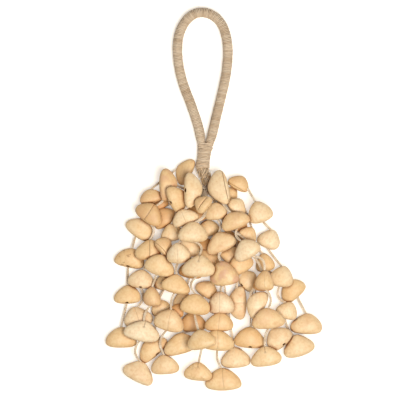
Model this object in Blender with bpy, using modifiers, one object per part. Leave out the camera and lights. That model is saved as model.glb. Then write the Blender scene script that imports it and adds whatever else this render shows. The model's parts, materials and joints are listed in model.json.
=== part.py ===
import math

import bmesh
import bpy
import numpy as np
from mathutils import Matrix, Vector
from mathutils.bvhtree import BVHTree

# A seed shaker that lies flat on a table: hollow nut shells threaded on strings,
# and a cord loop wound with twine as its handle. Lengths are in millimetres until
# the meshes are written, which is in metres. +X is to the right of someone who
# looks down on it, +Y points from the nuts to the loop and +Z is up.
MM = 0.001

# Driving dimensions. The layout's tables count in units of which the whole is 384.9 long.
OVERALL_LENGTH = 354.1
LAYOUT_UNIT = OVERALL_LENGTH / 384.9
LAYOUT_MIDDLE_X = 214.5
LAYOUT_MIDDLE_Y = 199.2
LAYOUT_REACH_X = 190.0
LAYOUT_REACH_Y = 250.0
WINDING_OUTER_DIAMETER = 8.5
WINDING_THICKNESS = 1.6
CORE_DIAMETER = 3.8
STEM_WINDING_THICKNESS = 1.0
STEM_HEIGHT = 8.8
STRING_DIAMETER = 1.3
FIT_GAP = 0.3
NUT_THICKNESS_TO_HEIGHT = 0.70
NUT_APEX_SHARE = 0.58
NUT_BASE_SHARE = 0.46
NUT_SHOULDER_SLOPE = 0.30
NUT_SUTURE_DEPTH = 0.05
NUT_SIDES = 8
NUT_HOLE_OFFSET = 0.4
NUT_RINGS = 6
HEAP_CELL = 0.5
STRING_STEP = 4.3
STRING_BOW_LIMIT = 6.0
STRING_SAG = 2.5
STRING_BEND_RADIUS = 3.2
LEAN_LIMIT_DEG = 16.0
LEAN_SHARE = 0.6
SLOT_COLUMNS = 4

# The nuts, each as its middle (right, down), its length, its height from base to
# apex, and its turn in degrees. Lengths count in layout units. A nut with no turn
# has its apex towards the handle. The last two values of the longer rows roll the
# nut about its length and raise one end, in degrees.
NUTS = {
    "N1": (185, 171.3, 28, 15.5, 63),
    "N2": (167.3, 184.5, 32, 17.5, -90),
    "N3": (192, 190, 35, 18, -90),
    "N4": (151, 197, 24, 14, 15),
    "N5": (149.5, 214, 30, 19, -35),
    "N6": (177, 198.6, 28.5, 19, -65),
    "N7": (185, 218, 27, 16, 20),
    "N8": (140.5, 229, 30, 20, -35),
    "N9": (165, 218, 26, 18, 30),
    "N10": (172, 233.5, 24, 17, 15),
    "N11": (193, 233, 30, 20, 0),
    "N12": (203, 204, 19, 15, 54, -38, 0),
    "N13": (219.5, 187.5, 35, 20, 103, -14, 0),
    "N14": (239, 183.5, 22, 14.5, -30),
    "N15": (231, 195, 18, 14, 90),
    "N16": (237, 207, 22, 15, -40),
    "N17": (235, 221, 30, 17, 21),
    "N18": (216, 212, 23, 17, 5),
    "N19": (208, 229, 24, 16, 10),
    "N20": (259.7, 213, 25, 20.5, 18),
    "N21": (269.3, 240, 23, 19, -25),
    "N22": (221, 243, 31, 19, 22),
    "N23": (248, 235, 20, 15, -35),
    "N24": (246.5, 250, 28, 19, 28),
    "N25": (265, 263.5, 19, 18, 10),
    "N26": (281, 277.5, 25, 20.5, -10),
    "N27": (264, 281, 19, 19, 0),
    "N28": (292.5, 290.5, 28, 19, 42),
    "N29": (247.5, 280.5, 24, 18, -50),
    "N30": (238, 303, 34, 18, 90),
    "N31a": (223.5, 274.5, 29, 24, 8),
    "N31b": (240, 265, 28, 18, 25),
    "N34": (198.5, 267, 33, 21, 0),
    "N35": (209, 259, 26, 16, -40),
    "N37": (178.5, 254, 24, 20, 5),
    "N38": (188, 247.5, 24, 18, -10),
    "N39": (164, 246, 20, 15, -45, -20, 0),
    "N40": (149, 250.6, 29, 19, 5),
    "N41": (130, 259, 31, 19, -12),
    "N42": (160, 266, 31, 20, -18),
    "N43": (141, 280, 27, 18, -8),
    "N44": (127.4, 295.5, 27, 18, 0),
    "N45": (152, 297.5, 18, 19, 0),
    "N46": (176, 285, 29, 18, -12),
    "N47": (164, 283, 20, 15, 0),
    "N48": (160, 308, 20, 15, 30),
    "N49": (169, 321, 31, 21, -12),
    "N50": (195.5, 305, 31, 20, -8),
    "N51": (183, 301, 20, 18, 0),
    "N52": (207, 290, 24, 16, -30),
    "N53": (221, 304, 27, 22, 0),
    "N54": (219, 322.8, 29, 18.5, 0),
    "N55": (193, 323, 26, 19, 5),
    "N56": (201, 340, 29, 19, 12),
    "N57": (218, 341, 33, 20, -3),
    "N59": (180, 345, 35, 20, 17),
    "N60": (138, 318, 29, 20, 10),
    "N61": (142, 332, 36, 20, -12),
    "N62": (121, 338.5, 32, 20, 0),
    "N63": (152, 349, 34, 18, 43),
    "N64": (165, 365.6, 28.5, 19, 3),
    "N65": (139, 373, 33, 20, -28),
    "N66": (198, 372.5, 28, 18, -5),
    "N67": (223, 380.7, 36, 21.5, 2),
    "N68": (235.5, 358.8, 30, 20, 5),
    "N69": (249.5, 338.8, 31.5, 20.5, -3),
    "N70": (266, 357.2, 31, 19.5, 8),
    "N71": (278.5, 338.5, 28, 20, 42),
    "N72": (268, 319, 33, 20, 4),
    "N73": (257, 304, 30, 18, 62),
    "N74": (287, 311, 22, 17, -20),
    "N75": (306.6, 325, 32, 20, -4),
    "N76": (298.4, 347, 31, 21, 18),
    "N78": (231, 256, 24, 17, -40),
    "H1": (195, 215, 24, 16, 10),
    "H5": (236, 224, 24, 16, -10),
    "H6": (229, 240, 26, 16, 0),
    "H7": (224, 276, 24, 16, 0),
    "H10": (249, 248, 22, 15, 10),
    "H11": (263, 284, 20, 15, 0),
    "H12": (160, 203.5, 17, 13, 30),
    "H13": (204.5, 246, 19, 15, -40),
    "H14": (191, 270.5, 25, 17, -10),
    "H16": (177.5, 310.5, 15, 11, -30),
}

# The strings from the lowest of the heap to the topmost, each with its nuts from
# the handle to its loose end.
STRANDS = (
    ("H12", "N9", "N47", "N48", "N63"),
    ("N19", "H13", "N35", "N52", "N55", "N59"),
    ("H1", "N38", "H14", "N51", "H16"),
    ("H6", "H7", "N68"),
    ("N15", "N78", "N29", "N69"),
    ("H5", "N31b", "N30"),
    ("N16", "N23", "N25", "N28", "N75"),
    ("N14", "N20", "N21", "N26", "N74", "N76"),
    ("H10", "H11", "N73", "N71"),
    ("N1", "N4", "N8", "N41", "N44", "N62"),
    ("N2", "N5", "N40", "N43", "N60"),
    ("N6", "N10", "N39", "N42", "N45", "N61", "N65"),
    ("N3", "N7", "N37", "N46", "N49", "N64"),
    ("N18", "N22", "N31a", "N53", "N54", "N57", "N67"),
    ("N13", "N17", "N24", "N27", "N72", "N70"),
    ("N12", "N11", "N34", "N50", "N56", "N66"),
)

# The middle line of the loop in layout units, from the foot of its left leg over
# the top to the foot of its right leg.
LOOP_LINE = (
    (201.3, 142.6), (200.9, 138), (199.9, 130), (196.6, 120), (192.9, 110), (189.4, 100),
    (185.2, 90), (181.9, 80), (179.7, 71), (177.8, 60), (177.2, 48), (178.3, 36),
    (182.0, 26), (188.0, 17.6), (195.5, 12.8), (202.5, 11.9), (210.5, 13.6), (218.5, 19),
    (224.0, 28), (227.0, 39), (228.3, 53), (226.6, 71), (225.0, 80), (222.8, 90),
    (220.3, 100), (217.9, 110), (215.4, 120), (213.3, 130), (211.3, 138), (210.6, 142.4),
)
# The stem: middle (right, down) and width, in layout units.
STEM_STATIONS = (
    (205.9, 144.0, 16.0), (205.6, 146.0, 14.8), (204.7, 150.0, 13.1), (204.1, 155.0, 12.8),
    (203.5, 160.0, 12.9), (202.7, 164.5, 14.1), (202.4, 167.0, 14.5), (202.3, 169.6, 14.3),
)
# The twisted bundle of strings under the stem, as the stem's stations.
TWIST_STATIONS = (
    (202.4, 170.4, 13.2), (202.5, 172.6, 12.6), (203.6, 175.5, 11.4), (204.8, 178.5, 10.2),
    (205.9, 181.5, 9.2), (206.0, 184.5, 8.6),
)
TWIST_SIDES = 20
TWIST_LOBES = 5
TWIST_LOBE_DEPTH = 0.10
TWIST_TURN_DEG = 150.0


def place(right, down):
    """The point of the layout in millimetres."""
    return (right - LAYOUT_MIDDLE_X) * LAYOUT_UNIT, (LAYOUT_MIDDLE_Y - down) * LAYOUT_UNIT


def material(name, rgb, roughness):
    made = bpy.data.materials.new(name)
    made.use_nodes = True
    shader = made.node_tree.nodes["Principled BSDF"]
    shader.inputs["Base Color"].default_value = (*rgb, 1.0)
    shader.inputs["Roughness"].default_value = roughness
    return made


def swept(name, points, radii, sides, collection, caps=True):
    """A round bar along the points, in millimetres, with a radius for each point."""
    curve = bpy.data.curves.new(name + "_line", "CURVE")
    curve.dimensions = "3D"
    curve.bevel_depth = 1.0
    curve.bevel_resolution = max(0, sides // 2 - 2)
    curve.use_fill_caps = caps
    curve.twist_mode = "Z_UP"
    line = curve.splines.new("POLY")
    line.points.add(len(points) - 1)
    for spot, point, radius in zip(line.points, points, radii):
        spot.co = (*point, 1.0)
        spot.radius = radius
    holder = bpy.data.objects.new(name + "_line", curve)
    collection.objects.link(holder)
    bpy.context.view_layer.update()
    graph = bpy.context.evaluated_depsgraph_get()
    mesh = bpy.data.meshes.new_from_object(holder.evaluated_get(graph))
    bpy.data.objects.remove(holder, do_unlink=True)
    mesh.name = name
    bar = bpy.data.objects.new(name, mesh)
    collection.objects.link(bar)
    return bar


def apply_modifiers(piece):
    bpy.context.view_layer.update()
    graph = bpy.context.evaluated_depsgraph_get()
    mesh = bpy.data.meshes.new_from_object(piece.evaluated_get(graph))
    piece.modifiers.clear()
    piece.data = mesh
    mesh.name = piece.name


def tidy_mesh(piece):
    """Turns the faces outwards and closes seams that the sweep left unjoined."""
    mesh = bmesh.new()
    mesh.from_mesh(piece.data)
    bmesh.ops.remove_doubles(mesh, verts=mesh.verts, dist=0.0001)
    bmesh.ops.dissolve_degenerate(mesh, edges=mesh.edges, dist=0.0001)
    bmesh.ops.recalc_face_normals(mesh, faces=mesh.faces)
    bmesh.ops.triangulate(mesh, faces=mesh.faces)
    mesh.to_mesh(piece.data)
    mesh.free()


def hollow(piece, thickness):
    """Gives an open tube its wall, inwards from its outside."""
    mesh = bmesh.new()
    mesh.from_mesh(piece.data)
    bmesh.ops.recalc_face_normals(mesh, faces=mesh.faces)
    mesh.to_mesh(piece.data)
    mesh.free()
    wall = piece.modifiers.new("wall", "SOLIDIFY")
    wall.thickness = thickness
    wall.offset = -1.0
    wall.use_rim = True
    apply_modifiers(piece)


def smooth_line(points, rounds):
    """Cuts the corners of a line evenly, with its ends kept."""
    line = [Vector(p) for p in points]
    for _ in range(rounds):
        finer = [line[0]]
        for here, there in zip(line, line[1:]):
            finer.append(here.lerp(there, 0.25))
            finer.append(here.lerp(there, 0.75))
        finer.append(line[-1])
        line = finer
    return line


class Heap:
    """How high the pieces reach over the table, by cells of the layout."""

    def __init__(self):
        self.low_x = -LAYOUT_REACH_X * LAYOUT_UNIT
        self.low_y = -LAYOUT_REACH_Y * LAYOUT_UNIT
        self.count_x = int(-2 * self.low_x / HEAP_CELL)
        self.count_y = int(-2 * self.low_y / HEAP_CELL)
        self.top = np.zeros((self.count_x, self.count_y))

    def cells(self, low, high):
        first_x = max(1, int((low[0] - self.low_x) / HEAP_CELL) - 1)
        last_x = min(self.count_x - 2, int((high[0] - self.low_x) / HEAP_CELL) + 1)
        first_y = max(1, int((low[1] - self.low_y) / HEAP_CELL) - 1)
        last_y = min(self.count_y - 2, int((high[1] - self.low_y) / HEAP_CELL) + 1)
        return first_x, last_x, first_y, last_y

    def widened(self, first_x, last_x, first_y, last_y):
        """The heights of a field of cells, each raised to its highest neighbour."""
        field = np.zeros((last_x - first_x + 1, last_y - first_y + 1))
        for step_x in (-1, 0, 1):
            for step_y in (-1, 0, 1):
                part = self.top[
                    first_x + step_x:last_x + 1 + step_x,
                    first_y + step_y:last_y + 1 + step_y,
                ]
                field = np.maximum(field, part)
        return field

    def middle(self, index_x, index_y):
        return (
            self.low_x + (index_x + 0.5) * HEAP_CELL,
            self.low_y + (index_y + 0.5) * HEAP_CELL,
        )

    def faces_of(self, tree, low, high):
        """The lower and the upper height of a piece over each cell under it."""
        first_x, last_x, first_y, last_y = self.cells(low, high)
        shape = (last_x - first_x + 1, last_y - first_y + 1)
        under = np.full(shape, np.nan)
        over = np.full(shape, np.nan)
        up = Vector((0, 0, 1))
        for index_x in range(first_x, last_x + 1):
            for index_y in range(first_y, last_y + 1):
                x, y = self.middle(index_x, index_y)
                hit = tree.ray_cast(Vector((x, y, low[2] - 5)), up)
                if hit[0] is None:
                    continue
                under[index_x - first_x, index_y - first_y] = hit[0].z
                back = tree.ray_cast(Vector((x, y, high[2] + 5)), -up)
                over[index_x - first_x, index_y - first_y] = back[0].z
        return (first_x, last_x, first_y, last_y), under, over

    def add(self, tree, low, high, lift=0.0):
        span, _, over = self.faces_of(tree, low, high)
        first_x, last_x, first_y, last_y = span
        part = self.top[first_x:last_x + 1, first_y:last_y + 1]
        filled = np.where(np.isnan(over), 0.0, over + lift)
        np.maximum(part, filled, out=part)

    def reach(self, x, y, radius):
        """The highest cell within the radius of a point, and one cell beyond."""
        wide = radius + HEAP_CELL
        first_x, last_x, first_y, last_y = self.cells((x - wide, y - wide), (x + wide, y + wide))
        best = 0.0
        for index_x in range(first_x, last_x + 1):
            for index_y in range(first_y, last_y + 1):
                cell_x, cell_y = self.middle(index_x, index_y)
                if (cell_x - x) ** 2 + (cell_y - y) ** 2 <= (wide + 0.25) ** 2:
                    best = max(best, self.top[index_x, index_y])
        return best

    def add_string(self, here, there, radius):
        length = (there - here).length
        steps = max(1, int(length / 0.4))
        for index in range(steps + 1):
            spot = here.lerp(there, index / steps)
            span = self.cells((spot.x - radius, spot.y - radius), (spot.x + radius, spot.y + radius))
            first_x, last_x, first_y, last_y = span
            for index_x in range(first_x, last_x + 1):
                for index_y in range(first_y, last_y + 1):
                    cell_x, cell_y = self.middle(index_x, index_y)
                    if (cell_x - spot.x) ** 2 + (cell_y - spot.y) ** 2 <= (radius + 0.2) ** 2:
                        self.top[index_x, index_y] = max(self.top[index_x, index_y], spot.z + radius)


def bounds_of(points):
    low = [min(p[axis] for p in points) for axis in range(3)]
    high = [max(p[axis] for p in points) for axis in range(3)]
    return low, high


def tree_of(points, faces):
    return BVHTree.FromPolygons([tuple(p) for p in points], faces)


def nut_points(ball, length, height):
    """A ball drawn into a nut: flat base, shoulders that slope to a blunt apex."""
    thickness = height * NUT_THICKNESS_TO_HEIGHT
    points = []
    for along, rise, out in ball:
        if rise > 0:
            across = rise * height * NUT_APEX_SHARE
            along_now = along * (1.0 - NUT_SHOULDER_SLOPE * rise ** 1.2)
        else:
            across = -(abs(rise) ** 0.80) * height * NUT_BASE_SHARE
            along_now = along * (1.0 + 0.14 * abs(rise))
        bulge = 1.0 + 0.10 * max(0.0, -rise)
        out_now = math.copysign(abs(out) ** 0.90, out) * thickness / 2 * bulge
        pinch = 1.0 - NUT_SUTURE_DEPTH if abs(along) < 0.05 else 1.0
        points.append(Vector((along_now * length / 2, across * pinch, out_now * pinch)))
    return points


bpy.context.preferences.edit.use_global_undo = False
for old in list(bpy.data.objects):
    bpy.data.objects.remove(old, do_unlink=True)

shaker = bpy.data.collections.new("seed_shaker")
bpy.context.scene.collection.children.link(shaker)
helpers = bpy.data.collections.new("cutters")
bpy.context.scene.collection.children.link(helpers)

NUT_MATERIAL = material("nut_shell", (0.76, 0.52, 0.28), 0.45)
WINDING_MATERIAL = material("waxed_twine", (0.60, 0.44, 0.28), 0.75)
CORE_MATERIAL = material("core_cord", (0.55, 0.43, 0.29), 0.85)
TWIST_MATERIAL = material("string_bundle", (0.42, 0.32, 0.22), 0.85)

heap = Heap()
strings_only = Heap()


def finish_piece(piece, look):
    piece.data.materials.clear()
    piece.data.materials.append(look)
    for corner in piece.data.vertices:
        corner.co = corner.co * MM
    piece.data.update()


# Handle: the winding of the loop, open at both feet, and the cord core inside it
loop_height = WINDING_OUTER_DIAMETER / 2
foot_height = STEM_HEIGHT / 2
line = []
for index, (right, down) in enumerate(LOOP_LINE):
    x, y = place(right, down)
    from_end = min(index, len(LOOP_LINE) - 1 - index)
    share = max(0.0, 1.0 - from_end / 3.0)
    line.append((x, y, loop_height + share * (foot_height - loop_height)))
loop_points = smooth_line(line, 1)
radii = []
for index in range(len(loop_points)):
    from_end = min(index, len(loop_points) - 1 - index)
    radii.append(WINDING_OUTER_DIAMETER / 2 * (0.93 + 0.07 * min(1.0, from_end / 5.0)))
loop_winding = swept("loop_winding", loop_points, radii, 10, shaker, caps=False)
hollow(loop_winding, WINDING_THICKNESS)
tidy_mesh(loop_winding)

stem_line = [Vector((*place(right, down), foot_height)) for right, down, _ in STEM_STATIONS]
stem_radii = [width * LAYOUT_UNIT / 2 for _, _, width in STEM_STATIONS]
stem_winding = swept("stem_winding", stem_line, stem_radii, 16, shaker, caps=False)
for corner in stem_winding.data.vertices:
    station = min(range(len(stem_line)), key=lambda i: abs(stem_line[i].y - corner.co.y))
    corner.co.z = foot_height + (corner.co.z - foot_height) * STEM_HEIGHT / 2 / stem_radii[station]
hollow(stem_winding, STEM_WINDING_THICKNESS)
tidy_mesh(stem_winding)

core_spread = CORE_DIAMETER / 2 + FIT_GAP
stem_core_left = [
    Vector((stem_line[station].x - core_spread, stem_line[station].y, foot_height))
    for station in (-2, -4, 2)
]
stem_core_right = [Vector((p.x + 2 * core_spread, p.y, p.z)) for p in stem_core_left]
core_points = stem_core_left + list(loop_points) + stem_core_right[::-1]
core_radii = [CORE_DIAMETER / 2] * len(core_points)
handle_core = swept("handle_core", core_points, core_radii, 6, shaker)
tidy_mesh(handle_core)

twist_line = []
for right, down, width in TWIST_STATIONS:
    x, y = place(right, down)
    twist_line.append(Vector((x, y, max(foot_height, width * LAYOUT_UNIT / 2 * (1 + TWIST_LOBE_DEPTH)))))
twist_radii = [width * LAYOUT_UNIT / 2 for _, _, width in TWIST_STATIONS]
string_twist = swept("string_twist", twist_line, twist_radii, TWIST_SIDES, shaker)
twist_top = twist_line[0].y
twist_end = twist_line[-1].y
for corner in string_twist.data.vertices:
    share = (twist_top - corner.co.y) / (twist_top - twist_end)
    share = min(1.0, max(0.0, share))
    position = share * (len(twist_line) - 1)
    index = min(len(twist_line) - 2, int(position))
    middle = twist_line[index].lerp(twist_line[index + 1], position - index)
    offset = Vector((corner.co.x - middle.x, 0, corner.co.z - middle.z))
    if offset.length < 0.2:
        continue
    angle = math.atan2(offset.z, offset.x)
    lobe = math.cos(TWIST_LOBES * angle + math.radians(TWIST_TURN_DEG) * share)
    flat = 1.0 - 0.22 * (1.0 - share) * abs(offset.z) / offset.length
    grow = (1.0 + TWIST_LOBE_DEPTH * (lobe - 0.5)) * flat
    corner.co.x = middle.x + offset.x * grow
    corner.co.z = max(0.05, middle.z + offset.z * grow)
tidy_mesh(string_twist)

for piece in (loop_winding, stem_winding, string_twist):
    corners = [v.co.copy() for v in piece.data.vertices]
    faces = [tuple(p.vertices) for p in piece.data.polygons]
    heap.add(tree_of(corners, faces), *bounds_of(corners))

# Nuts and strings, from the lowest string of the heap to the topmost
bpy.ops.mesh.primitive_uv_sphere_add(segments=NUT_SIDES, ring_count=NUT_RINGS, radius=1.0)
ball_object = bpy.context.object
ball_object.name = "ball"
ball_object.hide_render = True
ball_object.display_type = "WIRE"
bpy.context.collection.objects.unlink(ball_object)
helpers.objects.link(ball_object)
ball_faces = [tuple(p.vertices) for p in ball_object.data.polygons]
ball = [(v.co.z, v.co.x, v.co.y) for v in ball_object.data.vertices]

string_radius = STRING_DIAMETER / 2
clear = string_radius + FIT_GAP
slot_start_y = twist_end - 2 * FIT_GAP
slot_middle_x = twist_line[-1].x


def set_nut(name, own_heap):
    """Lowers a nut on to the table or the heap, leaning with what lies under it."""
    row = NUTS[name]
    x, y = place(row[0], row[1])
    roll, raised = (row[5], row[6]) if len(row) > 5 else (0.0, 0.0)
    length = row[2] * LAYOUT_UNIT
    height = row[3] * LAYOUT_UNIT
    flat_points = nut_points(ball, length, height)
    turn = Matrix.Rotation(math.radians(row[4]), 3, "Z")
    turn = turn @ Matrix.Rotation(math.radians(raised), 3, "Y")
    turn = turn @ Matrix.Rotation(math.radians(roll), 3, "X")
    lean = Matrix.Identity(3)
    for attempt in range(2):
        whole = lean @ turn
        points = [whole @ p for p in flat_points]
        points = [Vector((p.x + x, p.y + y, p.z)) for p in points]
        low, high = bounds_of(points)
        tree = tree_of(points, ball_faces)
        span, under, over = heap.faces_of(tree, low, high)
        field = np.maximum(heap.widened(*span), own_heap.widened(*span))
        lift = -low[2]
        piled = (field > 0.01) & ~np.isnan(under)
        if piled.any():
            lift = max(lift, float((field - under)[piled].max()) + FIT_GAP)
        if attempt == 1:
            break
        cells = np.argwhere(~np.isnan(under))
        heights = np.array([field[a, b] for a, b in cells])
        if heights.max() < 0.5:
            break
        across = (cells[:, 0] - cells[:, 0].mean()) * HEAP_CELL
        along = (cells[:, 1] - cells[:, 1].mean()) * HEAP_CELL
        slopes = np.linalg.lstsq(
            np.stack([across, along, np.ones(len(across))], axis=1), heights, rcond=None
        )[0]
        limit = math.tan(math.radians(LEAN_LIMIT_DEG))
        slope_x = max(-limit, min(limit, slopes[0] * LEAN_SHARE))
        slope_y = max(-limit, min(limit, slopes[1] * LEAN_SHARE))
        lean = Vector((0, 0, 1)).rotation_difference(Vector((-slope_x, -slope_y, 1))).to_matrix()
    points = [Vector((p.x, p.y, p.z + lift)) for p in points]
    aside = NUT_HOLE_OFFSET
    middle = Vector((x, y, lift)) + whole @ Vector((aside, 0, aside / 2))
    apex = middle + whole @ Vector((0, height * NUT_APEX_SHARE, 0))
    base = middle + whole @ Vector((0, -height * NUT_BASE_SHARE, 0))
    low, high = bounds_of(points)
    own_heap.add(tree_of(points, ball_faces), low, high)
    return points, middle, apex, base


def link_points(start, end, near_start):
    """A string from one point to another, bowed to the side where the heap is lowest."""
    across = Vector((start.y - end.y, end.x - start.x, 0))
    flat = max(0.1, across.length)
    across = across / flat
    steps = max(1, int(round(flat / STRING_STEP)))
    fine = 5
    widest = min(STRING_BOW_LIMIT, flat ** 2 / (math.pi ** 2 * STRING_BEND_RADIUS))
    best = None
    for share in (0.0, 0.33, -0.33, 0.67, -0.67, 1.0, -1.0):
        bow = share * widest
        needed = []
        for index in range(steps * fine + 1):
            part = index / (steps * fine)
            spot = start.lerp(end, part) + across * bow * math.sin(math.pi * part)
            top = strings_only.reach(spot.x, spot.y, string_radius)
            if not near_start or part * flat > 3.0:
                top = max(top, heap.reach(spot.x, spot.y, string_radius))
            needed.append(top + clear)
        points = []
        for index in range(steps + 1):
            part = index / steps
            spot = start.lerp(end, part) + across * bow * math.sin(math.pi * part)
            first = max(0, (index - 1) * fine)
            last = min(len(needed), (index + 1) * fine + 1)
            sag = min(STRING_SAG, flat / 8) * math.sin(math.pi * part)
            points.append(Vector((spot.x, spot.y, max(spot.z - sag, max(needed[first:last])))))
        cost = sum(needed) / len(needed) + 0.15 * abs(bow)
        if best is None or cost < best[0] - 0.01:
            best = (cost, points)
    return best[1]


slots = {}
for row_start in range(0, len(STRANDS), SLOT_COLUMNS):
    group = list(range(row_start, min(len(STRANDS), row_start + SLOT_COLUMNS)))
    group.sort(key=lambda i: NUTS[STRANDS[i][0]][0])
    for column, strand_index in enumerate(group):
        x = slot_middle_x + (column - (len(group) - 1) / 2) * (STRING_DIAMETER + 3 * FIT_GAP)
        z = 1.0 + (row_start // SLOT_COLUMNS) * (STRING_DIAMETER + 2 * FIT_GAP)
        slots[strand_index] = Vector((x, slot_start_y, z))

for strand_index, names in enumerate(STRANDS):
    own_heap = Heap()
    placed = [set_nut(name, own_heap) for name in names]
    start = slots[strand_index]
    below = Vector((start.x, start.y - STRING_STEP, start.z))
    route = link_points(start, below, True)
    leaving = route[-1]
    for index, (_, middle, apex, base) in enumerate(placed):
        enter, leave = apex, base
        if (base - leaving).length < (apex - leaving).length:
            enter, leave = base, apex
        inside = enter.lerp(middle, 1.6 / max(1.7, (middle - enter).length))
        link = link_points(leaving, inside, index == 0)
        route += link[1:] if index == 0 else link
        route.append(middle)
        leaving = leave.lerp(middle, 1.6 / max(1.7, (middle - leave).length))
    outside = leave + (leave - middle).normalized() * 1.6
    outside.z = max(outside.z, string_radius, strings_only.reach(outside.x, outside.y, string_radius) + clear)
    leaving.z = max(leaving.z, outside.z)
    route += [leaving, outside]
    spaced = [route[0]]
    for point in route[1:]:
        if (point - spaced[-1]).length > 0.8:
            spaced.append(point)
    number = strand_index + 1
    string = swept("strand_%02d" % number, spaced, [string_radius] * len(spaced), 4, shaker)
    tidy_mesh(string)
    nuts_mesh = bmesh.new()
    for points, _, _, _ in placed:
        nut_data = ball_object.data.copy()
        for corner, point in zip(nut_data.vertices, points):
            corner.co = point
        nuts_mesh.from_mesh(nut_data)
        bpy.data.meshes.remove(nut_data)
    bmesh.ops.recalc_face_normals(nuts_mesh, faces=nuts_mesh.faces)
    nuts_data = bpy.data.meshes.new("nuts_%02d" % number)
    nuts_mesh.to_mesh(nuts_data)
    nuts_mesh.free()
    nuts_object = bpy.data.objects.new("nuts_%02d" % number, nuts_data)
    helpers.objects.link(nuts_object)
    union = string.modifiers.new("thread", "BOOLEAN")
    union.operation = "UNION"
    union.solver = "EXACT"
    union.use_self = True
    union.object = nuts_object
    apply_modifiers(string)
    nuts_object.hide_render = True
    nuts_object.display_type = "WIRE"
    helpers.objects.unlink(nuts_object)
    tidy_mesh(string)
    for here, there in zip(spaced, spaced[1:]):
        strings_only.add_string(here, there, string_radius)
    strings_only.top = np.maximum(strings_only.top, own_heap.top)
    heap.top = np.maximum(heap.top, strings_only.top)
    finish_piece(string, NUT_MATERIAL)

finish_piece(loop_winding, WINDING_MATERIAL)
finish_piece(stem_winding, WINDING_MATERIAL)
finish_piece(handle_core, CORE_MATERIAL)
finish_piece(string_twist, TWIST_MATERIAL)

# The footprint's middle comes to the origin
pieces = [piece for piece in shaker.objects]
low, high = bounds_of([v.co for piece in pieces for v in piece.data.vertices])
shift = Vector((-(low[0] + high[0]) / 2, -(low[1] + high[1]) / 2, -low[2]))
for piece in pieces:
    for corner in piece.data.vertices:
        corner.co = corner.co + shift
    piece.data.update()
print("shift in mm", [round(value / MM, 2) for value in shift], "height", round((high[2] - low[2]) / MM, 1))
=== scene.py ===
import bpy
import bmesh
import json
import math
import random
import numpy as np
from mathutils import Matrix, Vector
from mathutils.bvhtree import BVHTree
from mathutils.kdtree import KDTree

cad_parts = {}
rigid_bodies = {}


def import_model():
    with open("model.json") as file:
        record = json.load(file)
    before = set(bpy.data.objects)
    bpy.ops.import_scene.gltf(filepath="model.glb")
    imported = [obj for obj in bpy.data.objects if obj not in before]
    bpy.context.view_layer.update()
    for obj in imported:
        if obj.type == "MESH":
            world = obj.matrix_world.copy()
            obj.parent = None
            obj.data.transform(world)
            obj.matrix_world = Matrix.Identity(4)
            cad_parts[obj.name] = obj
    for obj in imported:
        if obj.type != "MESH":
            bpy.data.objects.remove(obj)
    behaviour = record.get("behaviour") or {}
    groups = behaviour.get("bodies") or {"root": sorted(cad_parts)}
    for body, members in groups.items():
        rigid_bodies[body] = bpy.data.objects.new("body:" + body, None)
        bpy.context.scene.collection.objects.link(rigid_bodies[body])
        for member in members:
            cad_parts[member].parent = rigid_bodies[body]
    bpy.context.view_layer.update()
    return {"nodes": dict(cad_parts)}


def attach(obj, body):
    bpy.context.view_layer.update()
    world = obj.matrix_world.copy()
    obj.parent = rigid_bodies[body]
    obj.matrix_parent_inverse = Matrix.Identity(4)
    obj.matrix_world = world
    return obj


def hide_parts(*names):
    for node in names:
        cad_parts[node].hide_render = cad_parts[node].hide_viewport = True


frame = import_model()
mm = 0.001
print("frame loaded")

# The layout is counted in units of 0.92 mm, right and down, as the CAD model's is
layout = {"unit": 0.92, "middleRight": 214.5, "middleDown": 199.2, "shiftX": 0.66, "shiftY": 0.66}


def spot(right, down, z=0.0):
    x = (right - layout["middleRight"]) * layout["unit"] + layout["shiftX"]
    y = (layout["middleDown"] - down) * layout["unit"] + layout["shiftY"]
    return Vector((x * mm, y * mm, z * mm))


def deselectAll():
    if bpy.context.object and bpy.context.object.mode != "OBJECT":
        bpy.ops.object.mode_set(mode="OBJECT")
    bpy.ops.object.select_all(action="DESELECT")


def makeActive(piece):
    deselectAll()
    piece.select_set(True)
    bpy.context.view_layer.objects.active = piece


def applyPlace(piece):
    makeActive(piece)
    bpy.ops.object.transform_apply(location=True, rotation=True, scale=True)


# Camera, straight above the table: heights in metres, the width seen and the sensor in mm
cameraSettings = {"height": 5.0, "focusHeight": 0.010, "widthSeen": 368.0, "sensor": 36.0,
                  "lookRight": 200.0, "lookDown": 200.0}
deselectAll()
place = spot(cameraSettings["lookRight"], cameraSettings["lookDown"])
bpy.ops.object.camera_add(location=(place.x, place.y, cameraSettings["height"]), rotation=(0, 0, 0))
camera = bpy.context.object
camera.data.sensor_width = cameraSettings["sensor"]
viewDistance = cameraSettings["height"] - cameraSettings["focusHeight"]
camera.data.lens = cameraSettings["sensor"] * viewDistance / (cameraSettings["widthSeen"] * mm)
bpy.context.scene.camera = camera

# Soft studio light: a key lamp above, a little to the right and to the nuts' end, a weak fill
# lamp opposite, and an even world light
lightSettings = {
    "key": {"place": (0.32, -0.28, 1.5), "size": 0.75, "watts": 24.0, "colour": "#FFF9F2"},
    "fill": {"place": (-0.9, 0.7, 1.2), "size": 1.4, "watts": 2.0, "colour": "#F4F8FF"},
    "ambient": 0.15,
}


def hexColour(code):
    parts = [int(code[i:i + 2], 16) / 255 for i in (1, 3, 5)]
    line = [p / 12.92 if p <= 0.04045 else ((p + 0.055) / 1.055) ** 2.4 for p in parts]
    return (*line, 1.0)


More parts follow.
